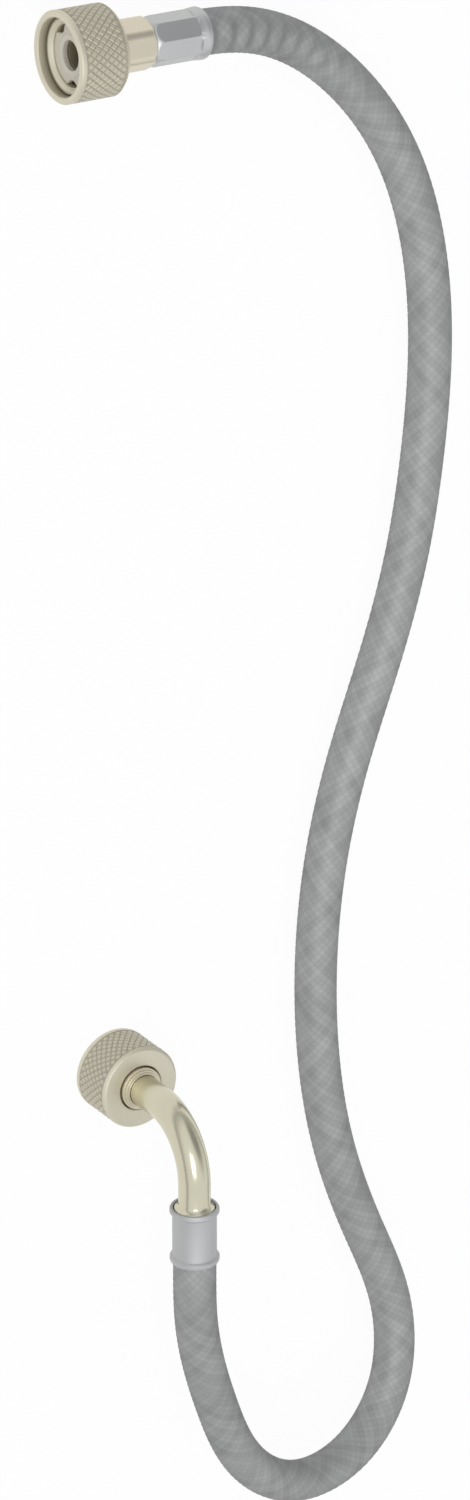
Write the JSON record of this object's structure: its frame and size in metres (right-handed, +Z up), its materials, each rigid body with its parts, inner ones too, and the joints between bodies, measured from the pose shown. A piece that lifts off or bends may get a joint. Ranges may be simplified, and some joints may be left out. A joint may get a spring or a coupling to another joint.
{
  "type": "braided flexible hose",
  "caption": "Flexible water hose of braided steel wire over a rubber liner, with knurled union nuts, one end straight and one on a bent tube.",
  "frame": {"origin": "on the surface that the hose lies on, at the middle of the box round the two fittings, leaving out the hose", "axes": "+Z up from that surface; the straight fitting opens towards -X, and the bent fitting stands on its nut and opens towards -Z"},
  "size_m": [0.1619, 0.5829, 0.0631],
  "materials": {
    "nickel_plate": "satin nickel plate on knurled brass",
    "brass": "bright pale brass, polished",
    "ferrule_steel": "drawn stainless steel, satin",
    "braided_wire": "fine braid of stainless steel wire",
    "fibre": "pale compressed fibre, matt",
    "rubber": "black hose rubber, matt"
  },
  "bodies": {
    "hose": {"inlet_gasket": "fibre", "inlet_nipple": "brass", "inlet_ferrule": "ferrule_steel", "braid_sleeve": "braided_wire", "inner_tube": "rubber", "outlet_ferrule": "ferrule_steel", "outlet_elbow": "brass", "outlet_collar": "brass", "outlet_gasket": "fibre"},
    "inlet_nut": {"inlet_union_nut": "nickel_plate"},
    "outlet_nut": {"outlet_union_nut": "nickel_plate"}
  },
  "joints": [
    {"name": "inlet_nut_spin", "type": "hinge", "parent": "hose", "child": "inlet_nut", "pos_m": [-0.01795, 0.2089, 0.0155], "axis": [1, 0, 0], "continuous": true},
    {"name": "outlet_nut_spin", "type": "hinge", "parent": "hose", "child": "outlet_nut", "pos_m": [-0.00075, -0.1717, 0.0094], "axis": [0, 0, 1], "continuous": true}
  ]
}
